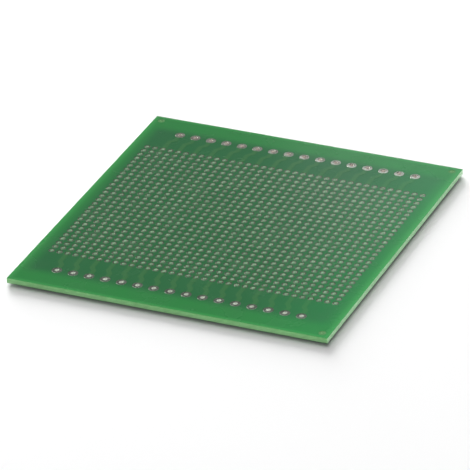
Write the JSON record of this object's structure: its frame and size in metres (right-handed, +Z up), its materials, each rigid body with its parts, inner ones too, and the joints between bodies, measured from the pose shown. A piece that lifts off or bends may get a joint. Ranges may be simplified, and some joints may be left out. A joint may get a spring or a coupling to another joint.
{
  "type": "perfboard",
  "caption": "Green prototyping board of glass-epoxy with a 2.54 mm grid of plated holes and a row of larger terminal holes along two edges, each traced to a grid column.",
  "frame": {"origin": "middle of the underside", "axes": "+Z up out of the trace side, +X along the terminal rows, +Y towards the rear terminal row"},
  "size_m": [0.0996, 0.1074, 0.0016],
  "materials": {
    "laminate": "bare glass-epoxy, pale yellow-green cut edge",
    "solder_mask": "semi-gloss green lacquer film",
    "masked_trace": "green lacquer film over copper",
    "tinned_plating": "hot-tinned copper, bright satin"
  },
  "bodies": {
    "root": {"laminate": "laminate", "top_mask": "solder_mask", "bottom_mask": "solder_mask", "grid_eyelets_row_01": "tinned_plating", "grid_eyelets_row_02": "tinned_plating", "grid_eyelets_row_03": "tinned_plating", "grid_eyelets_row_04": "tinned_plating", "grid_eyelets_row_05": "tinned_plating", "grid_eyelets_row_06": "tinned_plating", "grid_eyelets_row_07": "tinned_plating", "grid_eyelets_row_08": "tinned_plating", "grid_eyelets_row_09": "tinned_plating", "grid_eyelets_row_10": "tinned_plating", "grid_eyelets_row_11": "tinned_plating", "grid_eyelets_row_12": "tinned_plating", "grid_eyelets_row_13": "tinned_plating", "grid_eyelets_row_14": "tinned_plating", "grid_eyelets_row_15": "tinned_plating", "grid_eyelets_row_16": "tinned_plating", "grid_eyelets_row_17": "tinned_plating", "grid_eyelets_row_18": "tinned_plating", "grid_eyelets_row_19": "tinned_plating", "grid_eyelets_row_20": "tinned_plating", "grid_eyelets_row_21": "tinned_plating", "grid_eyelets_row_22": "tinned_plating", "grid_eyelets_row_23": "tinned_plating", "grid_eyelets_row_24": "tinned_plating", "grid_eyelets_row_25": "tinned_plating", "grid_eyelets_row_26": "tinned_plating", "grid_eyelets_row_27": "tinned_plating", "grid_eyelets_row_28": "tinned_plating", "rear_terminal_eyelets": "tinned_plating", "front_terminal_eyelets": "tinned_plating", "rear_traces": "masked_trace", "front_traces": "masked_trace"}
  },
  "joints": []
}
